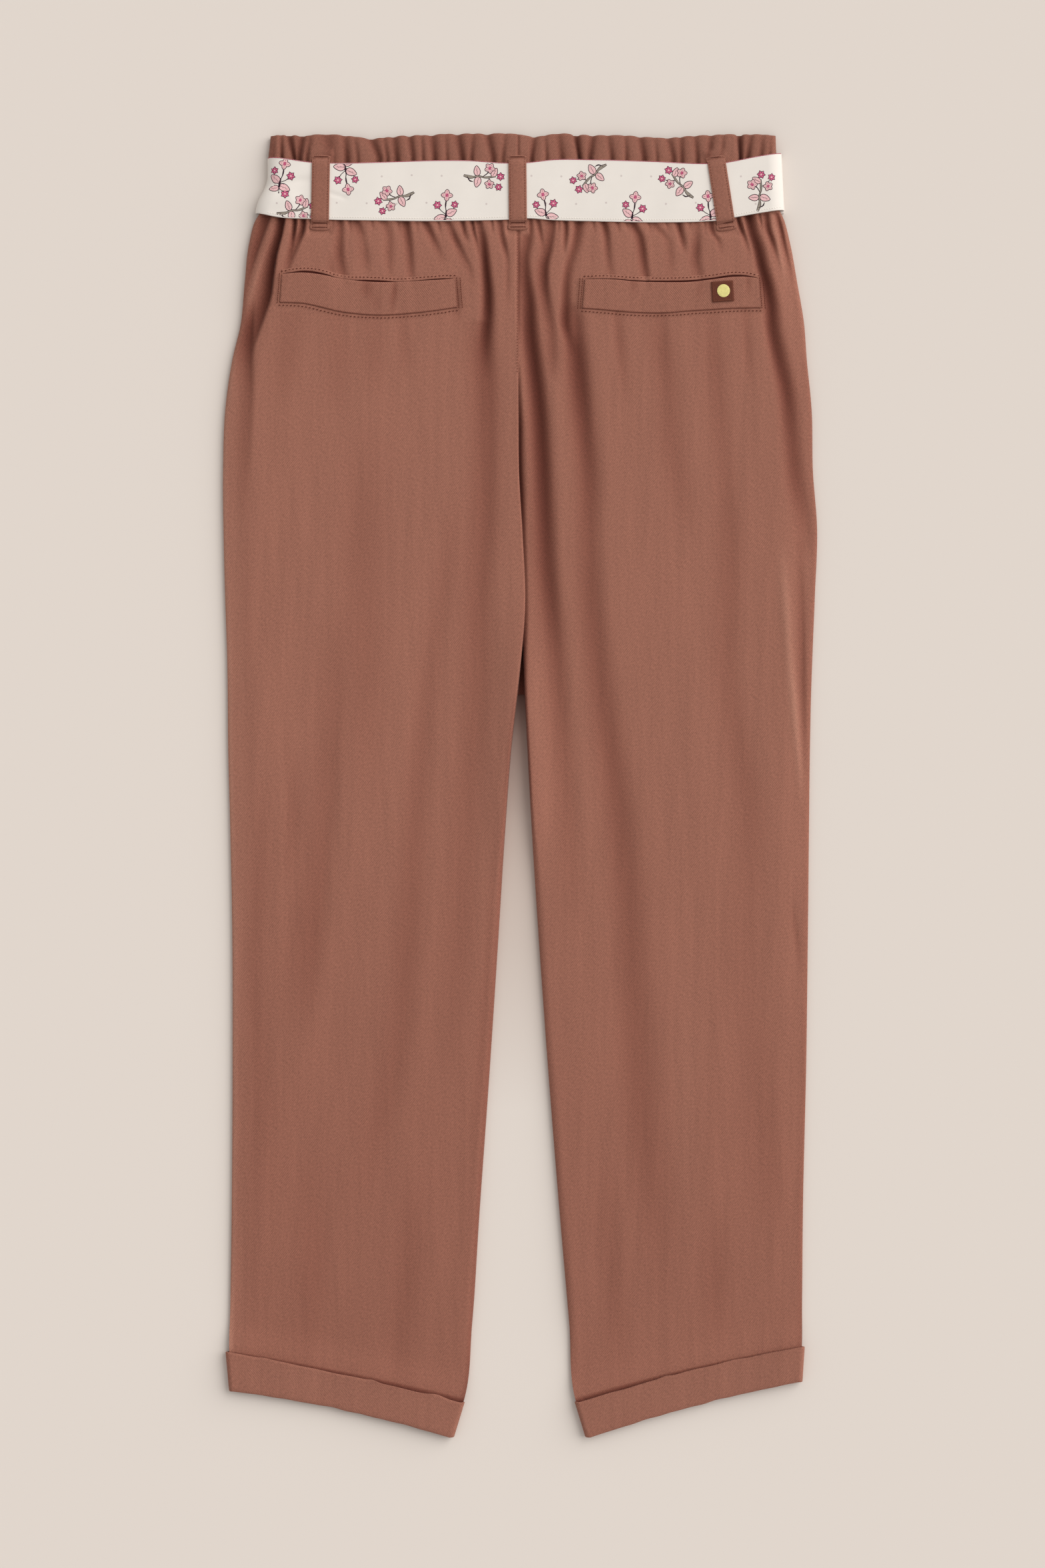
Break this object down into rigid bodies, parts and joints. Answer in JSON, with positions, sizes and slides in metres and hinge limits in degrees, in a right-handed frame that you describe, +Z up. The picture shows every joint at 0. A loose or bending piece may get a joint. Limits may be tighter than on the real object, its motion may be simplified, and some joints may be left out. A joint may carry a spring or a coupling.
{
  "type": "trousers",
  "caption": "Child's paperbag waist trousers laid flat, back up, with a frilled gathered waist, printed fabric belt in loops, back welt pockets and turned-up cuffs.",
  "frame": {"origin": "on the surface, under the middle of the garment's box", "axes": "+Y from the cuffs to the waist, +Z up from the surface (the garment's back faces up), +X to the wearer's right"},
  "size_m": [0.3458, 0.7598, 0.0101],
  "materials": {
    "twill": "soft matt terracotta twill",
    "cream_cotton": "matt cream plain weave with a flower print",
    "tab_tape": "matt brown tape"
  },
  "bodies": {
    "root": {"back_panel_left": "twill", "back_panel_right": "twill", "belt_back": "cream_cotton", "belt_front": "cream_cotton", "belt_loop_back_centre": "twill", "belt_loop_back_left": "twill", "belt_loop_back_right": "twill", "belt_loop_front_left": "twill", "belt_loop_front_right": "twill", "cuff_back_left": "twill", "cuff_back_right": "twill", "cuff_front_left": "twill", "cuff_front_right": "twill", "front_panel_left": "twill", "front_panel_right": "twill", "label_tab": "tab_tape", "pocket_welt_left": "twill", "pocket_welt_right": "twill", "waistband_back_left": "twill", "waistband_back_right": "twill", "waistband_front": "twill"}
  },
  "joints": []
}
